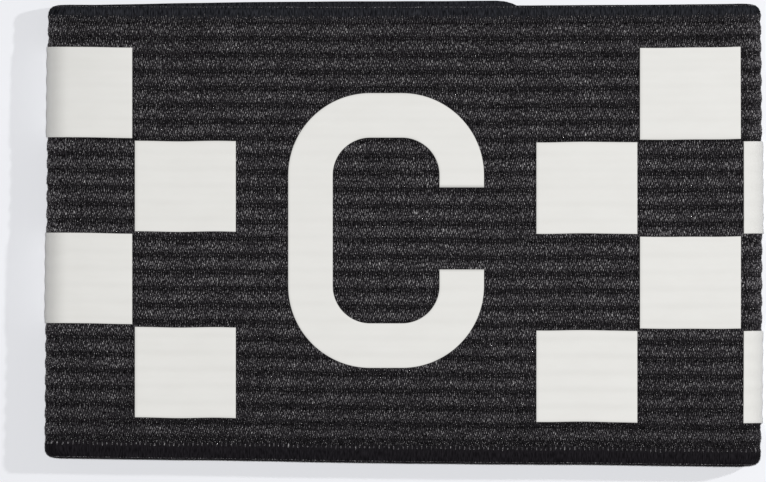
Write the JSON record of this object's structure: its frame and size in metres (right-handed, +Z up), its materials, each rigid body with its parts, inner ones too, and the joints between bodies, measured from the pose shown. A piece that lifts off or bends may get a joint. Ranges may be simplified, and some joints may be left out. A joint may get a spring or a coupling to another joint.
{
  "type": "captain armband",
  "caption": "Elastic captain armband folded flat: a ribbed strip closed by hook tape into a sleeve for the upper arm, with a printed letter C and check fields.",
  "frame": {"origin": "under the middle of the armband, on the surface that it lies on", "axes": "+X along the folded loop, to the right as the letter is read; +Y across the band towards the top of the letter; +Z up out of the lettered face"},
  "size_m": [0.1404, 0.0908, 0.0081],
  "materials": {
    "knit": "black ribbed elastic knit with faint glints along the crests",
    "print": "matte off-white heat-applied film",
    "hook": "black hook tape"
  },
  "bodies": {
    "root": {"band": "knit", "hook_tape": "hook", "captain_letter": "print", "block_left_1": "print", "block_left_2": "print", "block_left_3": "print", "block_left_4": "print", "block_right_1": "print", "block_right_2": "print", "block_right_3": "print", "block_right_4": "print", "block_right_5": "print", "block_right_6": "print"}
  },
  "joints": []
}
